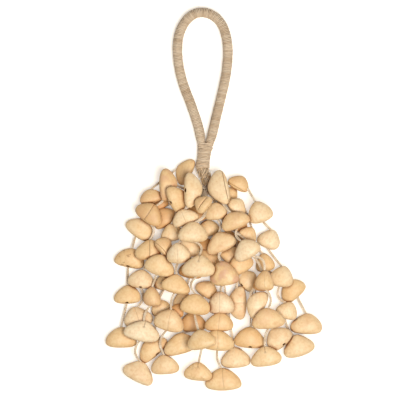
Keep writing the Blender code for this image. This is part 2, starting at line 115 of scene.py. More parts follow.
for name in ("key", "fill"):
    lamp = lightSettings[name]
    aim = (-Vector(lamp["place"])).to_track_quat("-Z", "Y").to_euler()
    bpy.ops.object.light_add(type="AREA", location=lamp["place"], rotation=aim)
    light = bpy.context.object
    light.name = name + "Light"
    light.data.shape = "SQUARE"
    light.data.size = lamp["size"]
    light.data.energy = lamp["watts"]
    light.data.color = hexColour(lamp["colour"])[:3]


def addNode(tree, kind, x, y, settings=None, links=None):
    # settings go to inputs by number or name, or else to the node itself, in their order
    node = tree.nodes.new(kind)
    node.location = (x, y)
    for key, value in (settings or {}).items():
        if isinstance(key, int) or key in node.inputs:
            node.inputs[key].default_value = value
        else:
            setattr(node, key, value)
    for key, source in (links or {}).items():
        tree.links.new(source, node.inputs[key])
    return node


world = bpy.data.worlds.new("studio")
bpy.context.scene.world = world
world.use_nodes = True
tree = world.node_tree
tree.nodes.clear()
rays = addNode(tree, "ShaderNodeLightPath", -600, 200)
seen = addNode(tree, "ShaderNodeMath", -400, 200, {"operation": "MAXIMUM"},
               {0: rays.outputs["Is Camera Ray"], 1: rays.outputs["Is Glossy Ray"]})
seen = addNode(tree, "ShaderNodeMath", -250, 200, {"operation": "MAXIMUM"},
               {0: seen.outputs[0], 1: rays.outputs["Is Transmission Ray"]})
soft = addNode(tree, "ShaderNodeBackground", -250, 0,
               {"Color": (1, 1, 1, 1), "Strength": lightSettings["ambient"]})
white = addNode(tree, "ShaderNodeBackground", -250, -150, {"Color": (1, 1, 1, 1), "Strength": 1.0})
mixed = addNode(tree, "ShaderNodeMixShader", 0, 0, None,
                {0: seen.outputs[0], 1: soft.outputs[0], 2: white.outputs[0]})
addNode(tree, "ShaderNodeOutputWorld", 200, 0, None, {"Surface": mixed.outputs[0]})
bpy.context.scene.view_settings.view_transform = "Standard"


def newMaterial(name):
    material = bpy.data.materials.new(name)
    material.use_nodes = True
    tree = material.node_tree
    tree.nodes.clear()
    shader = addNode(tree, "ShaderNodeBsdfPrincipled", 300, 0)
    addNode(tree, "ShaderNodeOutputMaterial", 600, 0, None, {"Surface": shader.outputs[0]})
    return material, tree, shader


# Floor: matte white paper, which keeps the shadow. Its glow, seen by the camera only, lifts it to white
# where it lies open and fades where the heap closes over it, a painted shade that keeps the gaps between the
# nuts dark
floorSettings = {"size": 6.0, "drop": 0.2, "colour": "#E9E4DC", "roughness": 0.9, "glow": 0.54,
                 "glowColour": "#FFF8EE", "openMm": 35.0, "openSpan": (0.04, 0.24)}
deselectAll()
bpy.ops.mesh.primitive_plane_add(size=floorSettings["size"], location=(0, 0, -floorSettings["drop"] * mm))
floor = bpy.context.object
floor.name = "studioTable"
paper, tree, shader = newMaterial("matte white paper")
shader.inputs["Base Color"].default_value = hexColour(floorSettings["colour"])
shader.inputs["Roughness"].default_value = floorSettings["roughness"]
rays = addNode(tree, "ShaderNodeLightPath", -400, 300)
closedAt, openAt = floorSettings["openSpan"]
# painted shade: the glow's strength follows the AO node, so the floor darkens in the narrow gaps between the
# nuts
openness = addNode(tree, "ShaderNodeAmbientOcclusion", -200, 450,
                   {"samples": 16, "Distance": floorSettings["openMm"] * mm})
share = addNode(tree, "ShaderNodeMapRange", 50, 450,
                {"From Min": closedAt, "From Max": openAt, "To Max": floorSettings["glow"]},
                {"Value": openness.outputs["AO"]})
glow = addNode(tree, "ShaderNodeEmission", 300, 300, {"Color": hexColour(floorSettings["glowColour"])},
               {"Strength": share.outputs[0]})
both = addNode(tree, "ShaderNodeAddShader", 450, 150, None, {0: shader.outputs[0], 1: glow.outputs[0]})
pick = addNode(tree, "ShaderNodeMixShader", 520, 50, None,
               {0: rays.outputs["Is Camera Ray"], 1: shader.outputs[0], 2: both.outputs[0]})
tree.links.new(pick.outputs[0], tree.nodes["Material Output"].inputs["Surface"])
floor.data.materials.append(paper)
print("camera, light and floor")

# Nut shell: the dry, hard stone of a fruit, scraped and tumbled, so it is smooth and satin,
# with fine fibres from apex to base and a paler or browner tone from nut to nut. A span holds
# the values of a pattern or of the openness between which a colour goes from none to its most
shellSettings = {
    "pale": "#F4DFBA", "main": "#EBCA96", "warm": "#D3A066", "paleAt": 0.12, "mainAt": 0.50,
    "cloudMm": 9.0, "cloudShare": 0.55,
    "blush": "#D9AC8A", "blushSpan": (0.42, 0.62), "blushMost": 1.6,
    "fibreMm": 0.55, "fibreSqueeze": 0.16, "fibreShare": 0.5, "mottleMm": 2.6,
    "streakSpan": (0.65, 1.0), "streakMost": 0.42,
    "stain": "#7A431C", "stainMm": 5.2, "stainSpan": (0.60, 0.67),
    # crease darkens the grooves: a seam's own brown line, and painted shade in the slit and gap openings
    "crease": "#6B3E1A", "creaseSpan": (0.1, 0.95), "creaseMost": 0.8,
    # shade is painted shade: a brown mixed in where the AO node finds the shell closed in by other nuts
    "shade": "#8E4F18", "shadeMm": 4.5, "shadeSpan": (0.28, 0.80), "shadeMost": 0.95,
    "grainMm": 0.35, "grainShare": 0.5, "bump": 0.35, "bumpMm": 0.12,
    "smoothest": 0.38, "roughest": 0.60, "ior": 1.5,
}


def makeShellMaterial():
    s = shellSettings
    material, tree, shader = newMaterial("dried fruit stone")
    where = addNode(tree, "ShaderNodeTexCoord", -1700, -200)
    own, tone, blush, spots, crease = [
        addNode(tree, "ShaderNodeAttribute", -1500, y, {"attribute_name": label})
        for label, y in (("nutPlace", 0), ("tone", 300), ("blush", 500), ("spots", -500), ("crease", 700))]
    clouds = addNode(tree, "ShaderNodeTexNoise", -1200, 0, {"Scale": 1000 / s["cloudMm"], "Detail": 3.0},
                     {"Vector": where.outputs["Object"]})
    squeeze = addNode(tree, "ShaderNodeMapping", -1350, -250, {"Scale": (1.0, s["fibreSqueeze"], 1.0)},
                      {"Vector": own.outputs["Vector"]})
    fibres = addNode(tree, "ShaderNodeTexNoise", -1150, -250, {"Scale": 1000 / s["fibreMm"], "Detail": 4.0},
                     {"Vector": squeeze.outputs[0]})
    mottle = addNode(tree, "ShaderNodeTexNoise", -1150, -380, {"Scale": 1000 / s["mottleMm"], "Detail": 4.0},
                     {"Vector": own.outputs["Vector"]})
    grain = addNode(tree, "ShaderNodeTexNoise", -1150, -500, {"Scale": 1000 / s["grainMm"], "Detail": 2.0},
                    {"Vector": where.outputs["Object"]})
    blots = addNode(tree, "ShaderNodeTexNoise", -1150, -750,
                    {"Scale": 1000 / s["stainMm"], "Detail": 3.0, "Roughness": 0.6},
                    {"Vector": own.outputs["Vector"]})
    # the nut's own tone with clouds over it, from pale through main to warm
    level = addNode(tree, "ShaderNodeMath", -950, 200, {"operation": "MULTIPLY_ADD", 1: s["cloudShare"]},
                    {0: clouds.outputs["Fac"], 2: tone.outputs["Fac"]})
    ramp = addNode(tree, "ShaderNodeValToRGB", -750, 200, None, {0: level.outputs[0]})
    stops = ramp.color_ramp.elements
    stops[0].position = s["paleAt"]
    stops[0].color = hexColour(s["pale"])
    stops[1].color = hexColour(s["warm"])
    stops.new(s["mainAt"]).color = hexColour(s["main"])
    # how much of each layer shows: rosy patches, fibres, stains, seams and slits, and painted shade in
    # crevices
    patch = addNode(tree, "ShaderNodeMapRange", -900, 500,
                    {"From Min": s["blushSpan"][0], "From Max": s["blushSpan"][1],
                     "To Max": s["blushMost"]}, {"Value": clouds.outputs["Fac"]})
    patchy = addNode(tree, "ShaderNodeMath", -700, 500, {"operation": "MULTIPLY", "use_clamp": True},
                     {0: patch.outputs[0], 1: blush.outputs["Fac"]})
    rubbed = addNode(tree, "ShaderNodeMath", -1000, -300,
                     {"operation": "MULTIPLY_ADD", 1: s["fibreShare"]},
                     {0: fibres.outputs["Fac"], 2: mottle.outputs["Fac"]})
    streak = addNode(tree, "ShaderNodeMapRange", -900, -250,
                     {"From Min": s["streakSpan"][0], "From Max": s["streakSpan"][1],
                      "To Max": s["streakMost"]}, {"Value": rubbed.outputs[0]})
    blot = addNode(tree, "ShaderNodeMapRange", -900, -750,
                   {"From Min": s["stainSpan"][0], "From Max": s["stainSpan"][1]},
                   {"Value": blots.outputs["Fac"]})
    stained = addNode(tree, "ShaderNodeMath", -700, -650, {"operation": "MULTIPLY"},
                      {0: blot.outputs[0], 1: spots.outputs["Fac"]})
    deep = addNode(tree, "ShaderNodeMapRange", -250, 350,
                   {"From Min": s["creaseSpan"][0], "From Max": s["creaseSpan"][1],
                    "To Max": s["creaseMost"]}, {"Value": crease.outputs["Fac"]})
    # painted shade: where the AO node finds the shell closed in, its colour goes towards the shade brown
    shut = addNode(tree, "ShaderNodeAmbientOcclusion", -250, 550,
                   {"samples": 8, "Distance": s["shadeMm"] * mm})
    paintedShade = addNode(tree, "ShaderNodeMapRange", -50, 550,
                   {"From Min": s["shadeSpan"][0], "From Max": s["shadeSpan"][1],
                    "To Min": s["shadeMost"], "To Max": 0.0}, {"Value": shut.outputs["AO"]})
    colour = ramp.outputs[0]
    layers = ((patchy, "blush"), (streak, "warm"), (stained, "stain"), (deep, "crease"), (paintedShade, "shade"))
    for n, (shown, label) in enumerate(layers):
        layer = addNode(tree, "ShaderNodeMix", -450 + 150 * n, 200,
                        {"data_type": "RGBA", 7: hexColour(s[label])}, {0: shown.outputs[0], 6: colour})
        colour = layer.outputs[2]
    tree.links.new(colour, shader.inputs["Base Color"])
    rough = addNode(tree, "ShaderNodeMapRange", -450, -300,
                    {"To Min": s["smoothest"], "To Max": s["roughest"]}, {"Value": clouds.outputs["Fac"]})
    tree.links.new(rough.outputs[0], shader.inputs["Roughness"])
    height = addNode(tree, "ShaderNodeMath", -450, -500, {"operation": "MULTIPLY_ADD", 1: s["grainShare"]},
                     {0: grain.outputs["Fac"], 2: fibres.outputs["Fac"]})
    bump = addNode(tree, "ShaderNodeBump", -200, -450, {"Strength": s["bump"], "Distance": s["bumpMm"] * mm},
                   {"Height": height.outputs[0]})
    tree.links.new(bump.outputs[0], shader.inputs["Normal"])
    shader.inputs["IOR"].default_value = s["ior"]
    return material


# Broken or drilled shell: the unpolished inside, brown and rough
innerSettings = {"deep": "#3C220E", "light": "#8E5E30", "fleckMm": 0.8, "roughness": 0.85}


def makeInnerMaterial():
    s = innerSettings
    material, tree, shader = newMaterial("raw inner shell")
    where = addNode(tree, "ShaderNodeTexCoord", -900, 0)
    flecks = addNode(tree, "ShaderNodeTexNoise", -700, 0, {"Scale": 1000 / s["fleckMm"], "Detail": 3.0},
                     {"Vector": where.outputs["Object"]})
    ramp = addNode(tree, "ShaderNodeValToRGB", -400, 0, None, {0: flecks.outputs["Fac"]})
    ramp.color_ramp.elements[0].color = hexColour(s["deep"])
    ramp.color_ramp.elements[1].color = hexColour(s["light"])
    tree.links.new(ramp.outputs[0], shader.inputs["Base Color"])
    shader.inputs["Roughness"].default_value = s["roughness"]
    return material


# Twine and string, spun from cotton or linen: matte, a little grey, with fine fibres that catch
# the light. Wax keeps the winding closed, and painted shade, a brown mixed in by an AO node,
# darkens the twine between the turns and the strands
twineSettings = {"fibreShare": 0.6, "darkAt": 0.55, "shade": "#6A3A14", "bump": 0.5, "bumpMm": 0.1,
                 "roughness": 0.78, "sheen": 0.12}
twineLooks = {
    "waxed linen twine": {
        "light": "#EDDCC2", "dark": "#BC9E7A", "fibreMm": 0.5, "cloudMm": 20.0, "cloudShare": 0.3,
        "shadeMm": 1.3, "shadeMost": 0.55, "shadeSpan": (0.25, 0.85), "turnShare": 0.10},
    "unwaxed string bundle": {
        "light": "#FAE8CA", "dark": "#D2B080", "fibreMm": 0.4, "cloudMm": 5.0, "cloudShare": 1.0,
        "shadeMm": 9.0, "shadeMost": 0.7, "shadeSpan": (0.10, 0.60)},
    "two-ply cotton string": {
        "light": "#F2E6D0", "dark": "#C6AC88", "fibreMm": 0.35, "cloudMm": 8.0, "cloudShare": 1.0,
        "shadeMm": 9.0, "shadeMost": 0.92, "shadeSpan": (0.12, 0.62)},
    "cotton cord core": {
        "light": "#CDB898", "dark": "#A58B68", "fibreMm": 0.6, "cloudMm": 9.0, "cloudShare": 1.0,
        "shadeMm": 3.0, "shadeMost": 0.5, "shadeSpan": (0.15, 0.55)},
}


def makeTwineMaterial(name):
    s = twineSettings | twineLooks[name]
    material, tree, shader = newMaterial(name)
    where = addNode(tree, "ShaderNodeTexCoord", -1100, 0)
    fibres = addNode(tree, "ShaderNodeTexNoise", -900, 0, {"Scale": 1000 / s["fibreMm"], "Detail": 4.0},
                     {"Vector": where.outputs["Object"]})
    clouds = addNode(tree, "ShaderNodeTexNoise", -900, -250, {"Scale": 1000 / s["cloudMm"], "Detail": 2.0},
                     {"Vector": where.outputs["Object"]})
    calm = addNode(tree, "ShaderNodeMapRange", -750, -300,
                   {"To Min": 0.5 - s["cloudShare"] / 2, "To Max": 0.5 + s["cloudShare"] / 2},
                   {"Value": clouds.outputs["Fac"]})
    level = addNode(tree, "ShaderNodeMath", -650, -100, {"operation": "MULTIPLY_ADD", 1: s["fibreShare"]},
                    {0: fibres.outputs["Fac"], 2: calm.outputs[0]})
    if "turnShare" in s:
        turn = addNode(tree, "ShaderNodeAttribute", -900, 250, {"attribute_name": "turnTone"})
        level = addNode(tree, "ShaderNodeMath", -550, 100, {"operation": "MULTIPLY_ADD", 1: s["turnShare"]},
                        {0: turn.outputs["Fac"], 2: level.outputs[0]})
    ramp = addNode(tree, "ShaderNodeValToRGB", -450, 0, None, {0: level.outputs[0]})
    ramp.color_ramp.elements[0].position = s["darkAt"]
    ramp.color_ramp.elements[0].color = hexColour(s["dark"])
    ramp.color_ramp.elements[1].color = hexColour(s["light"])
    # painted shade: where the AO node finds the twine closed in, its colour goes towards the shade brown
    shut = addNode(tree, "ShaderNodeAmbientOcclusion", -450, 350,
                   {"samples": 8, "Distance": s["shadeMm"] * mm})
    paintedShade = addNode(tree, "ShaderNodeMapRange", -250, 350,
                   {"From Min": s["shadeSpan"][0], "From Max": s["shadeSpan"][1],
                    "To Min": s["shadeMost"], "To Max": 0.0}, {"Value": shut.outputs["AO"]})
    shaded = addNode(tree, "ShaderNodeMix", 0, 150, {"data_type": "RGBA", 7: hexColour(s["shade"])},
                     {0: paintedShade.outputs[0], 6: ramp.outputs[0]})
    tree.links.new(shaded.outputs[2], shader.inputs["Base Color"])
    bump = addNode(tree, "ShaderNodeBump", -200, -300, {"Strength": s["bump"], "Distance": s["bumpMm"] * mm},
                   {"Height": fibres.outputs["Fac"]})
    tree.links.new(bump.outputs[0], shader.inputs["Normal"])
    shader.inputs["Roughness"].default_value = s["roughness"]
    shader.inputs["Sheen Weight"].default_value = s["sheen"]
    return material


shellMaterial = makeShellMaterial()
innerMaterial = makeInnerMaterial()
windingMaterial = makeTwineMaterial("waxed linen twine")
bundleMaterial = makeTwineMaterial("unwaxed string bundle")
stringMaterial = makeTwineMaterial("two-ply cotton string")
coreMaterial = makeTwineMaterial("cotton cord core")
print("materials")


def evenLine(points, step):
    lengths = [0.0]
    for here, there in zip(points, points[1:]):
        lengths.append(lengths[-1] + (there - here).length)
    count = max(2, int(round(lengths[-1] / step)))
    line = []
    index = 0
    for n in range(count + 1):
        reach = lengths[-1] * n / count
        while index < len(points) - 2 and lengths[index + 1] < reach:
            index += 1
        span = max(1e-9, lengths[index + 1] - lengths[index])
        part = min(1.0, max(0.0, (reach - lengths[index]) / span))
        line.append(points[index].lerp(points[index + 1], part))
    return line


def softenLine(points, rounds):
    line = [p.copy() for p in points]
    for _ in range(rounds):
        line = [line[0]] + [(a + 2 * b + c) / 4 for a, b, c in zip(line, line[1:], line[2:])] + [line[-1]]
    return line


def lineFrames(points):
    frames = []
    side = None
    for index in range(len(points)):
        ahead = (points[min(index + 1, len(points) - 1)] - points[max(index - 1, 0)]).normalized()
        if side is None:
            side = ahead.cross(Vector((0, 0, 1)))
            side = side.normalized() if side.length > 0.1 else Vector((1, 0, 0))
        side = (side - ahead * side.dot(ahead)).normalized()
        frames.append((ahead, side, ahead.cross(side)))
    return frames


# Doubled points closer than this, in mm, are welded
weldGap = 0.002


def bevelledMesh(name, lines, sides=6):
    # each line is its points and its radii; the joined result is a mesh at the origin
    curve = bpy.data.curves.new(name, "CURVE")
    curve.dimensions = "3D"
    curve.bevel_depth = 1.0
    curve.bevel_resolution = max(0, sides // 2 - 2)
    curve.use_fill_caps = True
    for points, radii in lines:
        run = curve.splines.new("POLY")
        run.points.add(len(points) - 1)
        for knot, point, radius in zip(run.points, points, radii):
            knot.co = (*point, 1.0)
            knot.radius = radius
    piece = bpy.data.objects.new(name, curve)
    bpy.context.collection.objects.link(piece)
    makeActive(piece)
    bpy.ops.object.convert(target="MESH")
    piece = bpy.context.object
    bpy.ops.object.mode_set(mode="EDIT")
    bpy.ops.mesh.select_all(action="SELECT")
    bpy.ops.mesh.remove_doubles(threshold=weldGap * mm)
    bpy.ops.mesh.normals_make_consistent(inside=False)
    bpy.ops.object.mode_set(mode="OBJECT")
    bpy.ops.object.shade_smooth()
    piece.name = name
    return piece


def dress(piece, material, *nodes):
    piece.data.materials.clear()
    piece.data.materials.append(material)
    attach(piece, "root")
    if nodes:
        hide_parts(*nodes)


# Loop: one long twine wound in close turns over the cord, each turn a little off from the last.
# Steps and gaps are in mm, and rise is how many times a turn's own jitter lifts it
windingSettings = {"centreStep": 0.3, "firstTurn": 0.2, "lastGap": 0.4, "rise": 3}
loopSettings = {
    "outerRadius": 4.65, "footRadius": 3.4, "footShare": 0.035, "footDrop": 0.1, "twineRadius": 0.76,
    "pitch": 1.38, "steps": 22, "pitchJitter": 0.10, "radiusJitter": 0.06, "seed": 4,
}
loopLine = (
    (202.4, 147.0), (201.4, 142.6), (200.5, 138), (199.2, 130), (196.4, 120), (192.9, 110), (189.4, 100),
    (185.2, 90), (181.9, 80), (179.7, 71), (177.8, 60), (177.2, 48), (178.3, 36),
    (182.0, 26), (188.0, 17.6), (195.5, 12.8), (202.5, 11.9), (210.5, 13.6), (218.5, 19),
    (224.0, 28), (227.0, 39), (228.3, 53), (226.6, 71), (225.0, 80), (222.8, 90),
    (220.3, 100), (217.9, 110), (215.4, 120), (213.2, 130), (211.3, 138), (209.6, 142.4), (208.2, 147.0),
)


def cutCorners(points):
    line = [points[0]]
    for here, there in zip(points, points[1:]):
        line += [here.lerp(there, 0.25), here.lerp(there, 0.75)]
    return line + [points[-1]]


def windTwine(name, centre, radiusAt, flatAt, s):
    # a helix of twine round a centre line, with the outer half width and half height at each share
    rng = random.Random(s["seed"])
    w = windingSettings
    centre = evenLine(centre, w["centreStep"] * mm)
    frames = lineFrames(centre)
    total = (len(centre) - 1) * w["centreStep"] * mm
    twine = s["twineRadius"] * mm
    turns = []
    reach = w["firstTurn"] * mm
    while reach < total - w["lastGap"] * mm:
        turns.append((reach, 1 + rng.uniform(-1, 1) * s["radiusJitter"]))
        reach += s["pitch"] * mm * (1 + rng.uniform(-1, 1) * s["pitchJitter"])
    points = []
    for (here, rise), (there, nextRise) in zip(turns, turns[1:]):
        for step in range(s["steps"]):
            part = step / s["steps"]
            reach = here + (there - here) * part
            share = reach / total
            n = min(len(centre) - 1, int(share * (len(centre) - 1) + 0.5))
            _, side, over = frames[n]
            lift = (rise + (nextRise - rise) * part - 1) * twine * w["rise"]
            wide = radiusAt(share) * mm - twine + lift
            tall = flatAt(share) * mm - twine + lift
            angle = 2 * math.pi * part
            points.append(centre[n] + side * math.cos(angle) * wide + over * math.sin(angle) * tall)
    piece = bevelledMesh(name, [(points, [twine] * len(points))])
    # each turn has its own tone, as the wax darkens the twine unevenly
    tones = [rng.uniform(-1, 1) for _ in turns]
    near = KDTree(len(points))
    for n, point in enumerate(points):
        near.insert(point, n)
    near.balance()
    shown = [tones[near.find(v.co)[1] // s["steps"]] for v in piece.data.vertices]
    piece.data.attributes.new("turnTone", "FLOAT", "POINT").data.foreach_set("value", shown)
    return piece


loopHeights = []
for index in range(len(loopLine)):
    fromEnd = min(index, len(loopLine) - 1 - index)
    loopHeights.append(loopSettings["outerRadius"] - max(0.0, 1 - fromEnd / 2) * loopSettings["footDrop"])
loopCentre = cutCorners(cutCorners([spot(r, d, h) for (r, d), h in zip(loopLine, loopHeights)]))


def loopRadius(share):
    end = min(share, 1 - share)
    s = loopSettings
    return s["footRadius"] + (s["outerRadius"] - s["footRadius"]) * min(1.0, end / s["footShare"])


loopPiece = windTwine("loopTwine", loopCentre, loopRadius, loopRadius, loopSettings)
dress(loopPiece, windingMaterial, "loop_winding")
print("loop wound")

# Stem: the twine goes on round both legs. Each station is right, down and the width there
stemSettings = {"height": 9.3, "twineRadius": 0.76, "pitch": 1.38, "steps": 34,
                "pitchJitter": 0.10, "radiusJitter": 0.07, "seed": 9}
stemStations = (
    (205.5, 142.4, 17.4), (205.4, 144.0, 16.8), (205.3, 146.0, 16.4), (204.8, 148.0, 15.6),
    (204.4, 150.0, 14.6), (204.0, 155.0, 13.7), (203.2, 160.0, 13.7), (202.6, 164.5, 14.4),
    (202.4, 167.0, 14.8), (202.4, 169.6, 14.6),
)


def stemHalfWidth(share):
    first, last = stemStations[0][1], stemStations[-1][1]
    down = first + share * (last - first)
    for (_, high, wide), (_, low, wideNext) in zip(stemStations, stemStations[1:]):
        if down <= low:
            return (wide + (wideNext - wide) * (down - high) / (low - high)) * layout["unit"] / 2
    return stemStations[-1][2] * layout["unit"] / 2


stemCentre = [spot(r, d, stemSettings["height"] / 2) for r, d, _ in stemStations]
stemPiece = windTwine("stemTwine", stemCentre, stemHalfWidth,
                      lambda share: stemSettings["height"] / 2, stemSettings)
dress(stemPiece, windingMaterial, "stem_winding")

coreNode = frame["nodes"]["handle_core"]
coreNode.data.materials.clear()
coreNode.data.materials.append(coreMaterial)
print("stem wound")

# Bundle: the strings twist together where they leave the stem, with loose hairs. Each station
# is right, down and the width there; goldenTurn, in radians, spreads the strings evenly
bundleSettings = {
    "strings": 16, "stringRadius": 0.72, "turnDeg": 210, "goldenTurn": 2.39996, "firstOut": 0.6,
    "steps": 22, "middleUp": 4.5, "tallest": 3.7, "turnJitter": 0.05, "seed": 21,
    "hairs": 120, "hairRadius": 0.17, "hairAlong": (0.05, 0.95), "hairAround": (0.15, 0.85),
    "hairTallest": 3.9, "hairBend": ((-0.5, 0.9), (-0.2, -1.0), (0.0, 0.25)), "hairOut": 0.5,
    "hairSteps": 7, "hairStep": 0.75, "hairSway": ((-0.35, 0.35), (-0.35, 0.2)), "hairSag": -0.05,
    "hairTaper": 0.08, "hairLowest": 0.3,
}
twistStations = (
    (202.4, 166.2, 12.0), (202.6, 169.4, 13.4), (203.6, 172.6, 14.0), (204.8, 175.5, 13.2),
    (205.8, 178.5, 11.8), (206.2, 181.5, 10.2), (206.0, 184.9, 8.4),
)


def makeBundle():
    s = bundleSettings
    rng = random.Random(s["seed"])
    middle = [spot(r, d, s["middleUp"]) for r, d, _ in twistStations]
    widths = [w * layout["unit"] / 2 for _, _, w in twistStations]
    lines = []
    for n in range(s["strings"]):
        far = math.sqrt((n + s["firstOut"]) / s["strings"])
        points = []
        for k in range(s["steps"] + 1):
            share = k / s["steps"] * (len(middle) - 1)
            index = min(len(middle) - 2, int(share))
            centre = middle[index].lerp(middle[index + 1], share - index)
            wide = widths[index] + (widths[index + 1] - widths[index]) * (share - index)
            wide = (wide - s["stringRadius"]) * mm * far
            turn = n * s["goldenTurn"] + math.radians(s["turnDeg"]) * k / s["steps"]
            turn += rng.uniform(-s["turnJitter"], s["turnJitter"])
            tall = min(wide, s["tallest"] * mm)
            points.append(centre + Vector((math.cos(turn) * wide, 0, math.sin(turn) * tall)))
        lines.append((softenLine(points, 1), [s["stringRadius"] * mm] * len(points)))
    for n in range(s["hairs"]):
        # a hair starts on the bundle's upper side and curls outwards and down the picture
        share = rng.uniform(*s["hairAlong"])
        index = min(len(middle) - 2, int(share * (len(middle) - 1)))
        wide = widths[index] * mm
        angle = rng.uniform(*s["hairAround"]) * math.pi
        outward = Vector((math.cos(angle), 0, math.sin(angle)))
        rise = outward.z * min(wide, s["hairTallest"] * mm)
        points = [middle[index] + Vector((outward.x * wide, 0, rise))]
        bend = Vector([rng.uniform(*span) for span in s["hairBend"]]).normalized()
        heading = (outward * s["hairOut"] + bend).normalized()
        for k in range(s["hairSteps"]):
            sway = [rng.uniform(*span) for span in s["hairSway"]]
            heading = (heading + Vector((*sway, s["hairSag"]))).normalized()
            points.append(points[-1] + heading * s["hairStep"] * mm)
        for point in points:
            point.z = max(s["hairLowest"] * mm, point.z)
        lines.append((points, [s["hairRadius"] * mm * (1 - s["hairTaper"] * k) for k in range(len(points))]))
    return bevelledMesh("stringBundle", lines)


bundlePiece = makeBundle()
dress(bundlePiece, bundleMaterial, "string_twist")
print("bundle twisted")

# Nuts: middle (right, down), length, height, turn, and the look of the shell that is used
nuts = {
    "N1": (185, 171.3, 28, 15.5, 63, "plain"), "N2": (167.3, 184.5, 32, 17.5, -90, "plain"),
    "N3": (192, 190, 35, 18, -90, "open"), "N4": (151, 197, 24, 14, 15, "plain"),
    "N5": (149.5, 214, 30, 19, -35, "seam"), "N6": (177, 198.6, 28.5, 19, -65, "open"),
    "N7": (185, 218, 27, 16, 20, "faint"), "N8": (140.5, 229, 30, 20, -35, "plain"),
    "N9": (165, 218, 26, 18, 30, "plain"), "N10": (172, 233.5, 24, 17, 15, "plain"),
    "N11": (193, 233, 30, 20, 0, "plain"), "N12": (203, 204, 19, 15, 54, "gap"),
    "N13": (219.5, 187.5, 35, 20, 103, "slit"), "N14": (239, 183.5, 22, 14.5, -30, "slit"),
    "N15": (231, 195, 18, 14, 90, "plain"), "N16": (237, 207, 22, 15, -40, "plain"),
    "N17": (235, 221, 30, 17, 21, "plain"), "N18": (216, 212, 23, 17, 5, "plain"),
    "N19": (208, 229, 24, 16, 10, "plain"), "N20": (259.7, 213, 25, 20.5, 18, "plain"),
    "N21": (269.3, 240, 23, 19, -25, "plain"), "N22": (221, 243, 31, 19, 22, "plain"),
    "N23": (248, 235, 20, 15, -35, "plain"), "N24": (246.5, 250, 28, 19, 28, "plain"),
    "N25": (265, 263.5, 19, 18, 10, "plain"), "N26": (281, 277.5, 25, 20.5, -10, "plain"),
    "N27": (264, 281, 19, 19, 0, "faint"), "N28": (292.5, 290.5, 28, 19, 42, "plain"),
    "N29": (247.5, 280.5, 24, 18, -50, "open"), "N30": (238, 303, 34, 18, 90, "faint"),
    "N31a": (223.5, 274.5, 29, 24, 8, "plain"), "N31b": (240, 265, 28, 18, 25, "plain"),
    "N34": (198.5, 267, 33, 21, 0, "notch"), "N35": (209, 259, 26, 16, -40, "plain"),
    "N37": (178.5, 254, 24, 20, 5, "faint"), "N38": (188, 247.5, 24, 18, -10, "plain"),
    "N39": (164, 246, 20, 15, -45, "slit"), "N40": (149, 250.6, 29, 19, 5, "seam"),
    "N41": (130, 259, 31, 19, -12, "open"), "N42": (160, 266, 31, 20, -18, "plain"),
    "N43": (141, 280, 27, 18, -8, "open"), "N44": (127.4, 295.5, 27, 18, 0, "open"),
    "N45": (152, 297.5, 18, 19, 0, "plain"), "N46": (176, 285, 29, 18, -12, "plain"),
    "N47": (164, 283, 20, 15, 0, "plain"), "N48": (160, 308, 20, 15, 30, "plain"),
    "N49": (169, 321, 31, 21, -12, "faint"), "N50": (195.5, 305, 31, 20, -8, "plain"),
    "N51": (183, 301, 20, 18, 0, "plain"), "N52": (207, 290, 24, 16, -30, "plain"),
    "N53": (221, 304, 27, 22, 0, "faint"), "N54": (219, 322.8, 29, 18.5, 0, "faint"),
    "N55": (193, 323, 26, 19, 5, "plain"), "N56": (201, 340, 29, 19, 12, "plain"),
    "N57": (218, 341, 33, 20, -3, "faint"), "N59": (180, 345, 35, 20, 17, "plain"),
    "N60": (138, 318, 29, 20, 10, "faint"), "N61": (142, 332, 36, 20, -12, "notch"),
    "N62": (121, 338.5, 32, 20, 0, "bell"), "N63": (152, 349, 34, 18, 43, "open"),
    "N64": (165, 365.6, 28.5, 19, 3, "bell"), "N65": (139, 373, 33, 20, -28, "bell"),
    "N66": (198, 372.5, 28, 18, -5, "notch"), "N67": (223, 380.7, 36, 21.5, 2, "faint"),
    "N68": (235.5, 358.8, 30, 20, 5, "bell"), "N69": (249.5, 338.8, 31.5, 20.5, -3, "open"),
    "N70": (266, 357.2, 31, 19.5, 8, "notch"), "N71": (278.5, 338.5, 28, 20, 42, "open"),
    "N72": (268, 319, 33, 20, 4, "plain"), "N73": (257, 304, 30, 18, 62, "plain"),
    "N74": (287, 311, 22, 17, -20, "plain"), "N75": (306.6, 325, 32, 20, -4, "plain"),
    "N76": (298.4, 347, 31, 21, 18, "plain"), "N78": (231, 256, 24, 17, -40, "plain"),
    "H1": (195, 215, 24, 16, 10, "light"), "H5": (236, 224, 24, 16, -10, "light"),
    "H6": (229, 240, 26, 16, 0, "light"), "H7": (224, 276, 24, 16, 0, "light"),
    "H10": (249, 248, 22, 15, 10, "light"), "H11": (263, 284, 20, 15, 0, "light"),
    "H12": (160, 203.5, 17, 13, 30, "light"), "H13": (204.5, 246, 19, 15, -40, "light"),
    "H14": (191, 270.5, 25, 17, -10, "light"), "H16": (177.5, 310.5, 15, 11, -30, "light"),
}
strands = (
    ("H12", "N9", "N47", "N48", "N63"),
    ("N19", "H13", "N35", "N52", "N55", "N59"),
    ("H1", "N38", "H14", "N51", "H16"),
    ("H6", "H7", "N68"),
    ("N15", "N78", "N29", "N69"),
    ("H5", "N31b", "N30"),
    ("N16", "N23", "N25", "N28", "N75"),
    ("N14", "N20", "N21", "N26", "N74", "N76"),
    ("H10", "H11", "N73", "N71"),
    ("N1", "N4", "N8", "N41", "N44", "N62"),
    ("N2", "N5", "N40", "N43", "N60"),
    ("N6", "N10", "N39", "N42", "N45", "N61", "N65"),
    ("N3", "N7", "N37", "N46", "N49", "N64"),
    ("N18", "N22", "N31a", "N53", "N54", "N57", "N67"),
    ("N13", "N17", "N24", "N27", "N72", "N70"),
    ("N12", "N11", "N34", "N50", "N56", "N66"),
)
